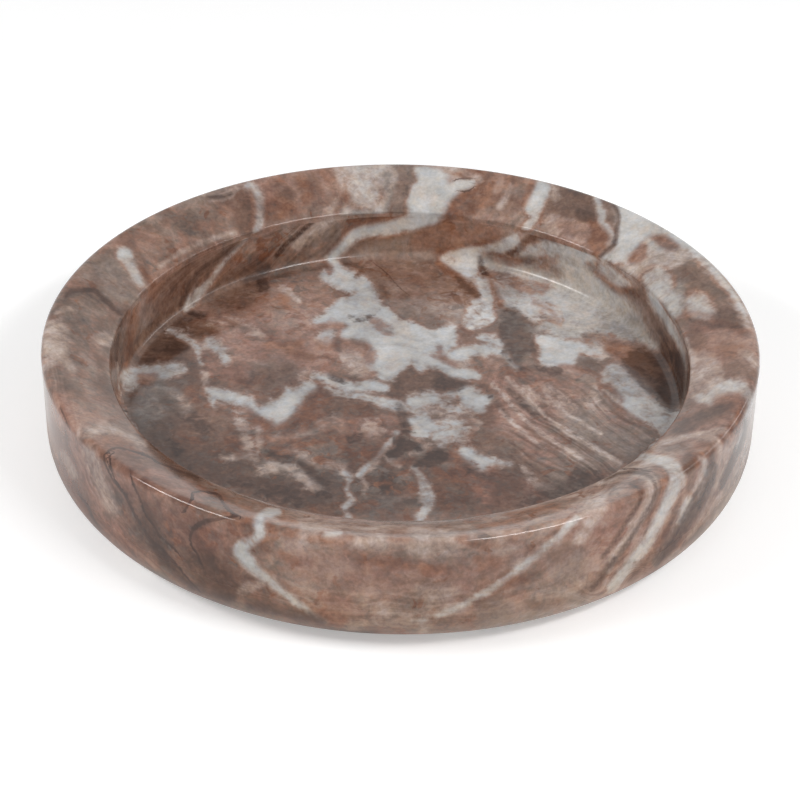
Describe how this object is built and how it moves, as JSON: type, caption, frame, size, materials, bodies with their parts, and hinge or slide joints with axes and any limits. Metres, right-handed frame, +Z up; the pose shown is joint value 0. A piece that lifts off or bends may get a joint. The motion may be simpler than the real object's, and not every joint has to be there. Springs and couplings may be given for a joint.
{
  "type": "decorative bowl",
  "caption": "Low round marble bowl with a thick flat floor, an upright wall and a broad rim that dips inwards, standing on small felt pads.",
  "frame": {"origin": "on the surface that the bowl stands on, under the middle of the bowl", "axes": "+Z up along the axis that the bowl is turned about, -Y towards the viewer of the picture, +X to the viewer's right"},
  "size_m": [0.2998, 0.2998, 0.0558],
  "materials": {
    "polished_marble": "polished, pink-brown with grey-white patches and rust and umber veins",
    "brown_felt": "pressed wool felt"
  },
  "bodies": {
    "root": {"bowl": "polished_marble", "foot_pad_1": "brown_felt", "foot_pad_2": "brown_felt", "foot_pad_3": "brown_felt", "foot_pad_4": "brown_felt"}
  },
  "joints": []
}
